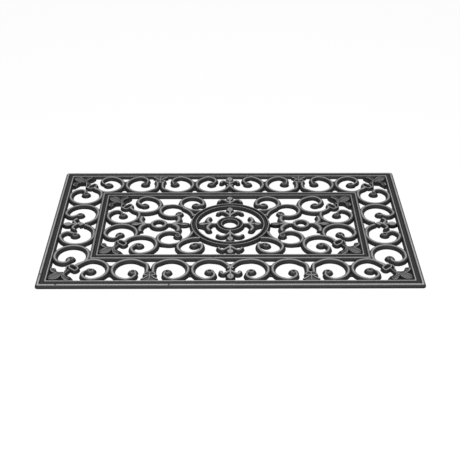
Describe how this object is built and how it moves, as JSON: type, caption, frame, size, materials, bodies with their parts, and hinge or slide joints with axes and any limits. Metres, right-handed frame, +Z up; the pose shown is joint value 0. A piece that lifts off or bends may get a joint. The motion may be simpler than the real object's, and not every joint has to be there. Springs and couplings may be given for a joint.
{
  "type": "rubber door mat",
  "caption": "Open grille door mat in moulded rubber: scrolls, leaf sprays and a ringed medallion inside a double beaded frame.",
  "frame": {"origin": "middle of the underside, on the ground", "axes": "+X along the long side, +Y from the front long side to the back one, +Z up"},
  "size_m": [0.75, 0.45, 0.0084],
  "materials": {
    "rubber": "matt black, as moulded, with a slight sheen on the crests"
  },
  "bodies": {
    "root": {"outer_frame_front": "rubber", "outer_frame_back": "rubber", "outer_frame_left": "rubber", "outer_frame_right": "rubber", "inner_frame_front": "rubber", "inner_frame_back": "rubber", "inner_frame_left": "rubber", "inner_frame_right": "rubber", "border_scrolls_outer_back_right": "rubber", "border_scrolls_inner_back_right": "rubber", "end_scrolls_back_right": "rubber", "border_spray_back_right": "rubber", "lyre_back_right": "rubber", "side_scroll_back_right": "rubber", "corner_scroll_back_right": "rubber", "small_scroll_back_right": "rubber", "arch_scroll_back_right": "rubber", "field_spray_back_right": "rubber", "border_scrolls_outer_back_left": "rubber", "border_scrolls_inner_back_left": "rubber", "end_scrolls_back_left": "rubber", "border_spray_back_left": "rubber", "lyre_back_left": "rubber", "side_scroll_back_left": "rubber", "corner_scroll_back_left": "rubber", "small_scroll_back_left": "rubber", "arch_scroll_back_left": "rubber", "field_spray_back_left": "rubber", "border_scrolls_outer_front_right": "rubber", "border_scrolls_inner_front_right": "rubber", "end_scrolls_front_right": "rubber", "border_spray_front_right": "rubber", "lyre_front_right": "rubber", "side_scroll_front_right": "rubber", "corner_scroll_front_right": "rubber", "small_scroll_front_right": "rubber", "arch_scroll_front_right": "rubber", "field_spray_front_right": "rubber", "border_scrolls_outer_front_left": "rubber", "border_scrolls_inner_front_left": "rubber", "end_scrolls_front_left": "rubber", "border_spray_front_left": "rubber", "lyre_front_left": "rubber", "side_scroll_front_left": "rubber", "corner_scroll_front_left": "rubber", "small_scroll_front_left": "rubber", "arch_scroll_front_left": "rubber", "field_spray_front_left": "rubber", "border_fleur_back": "rubber", "border_fleur_front": "rubber", "medallion_fleur_back": "rubber", "medallion_fleur_front": "rubber", "end_fleur_right": "rubber", "end_fleur_left": "rubber", "side_link_right": "rubber", "side_link_left": "rubber", "medallion_ring": "rubber", "hub_rosette": "rubber"}
  },
  "joints": []
}
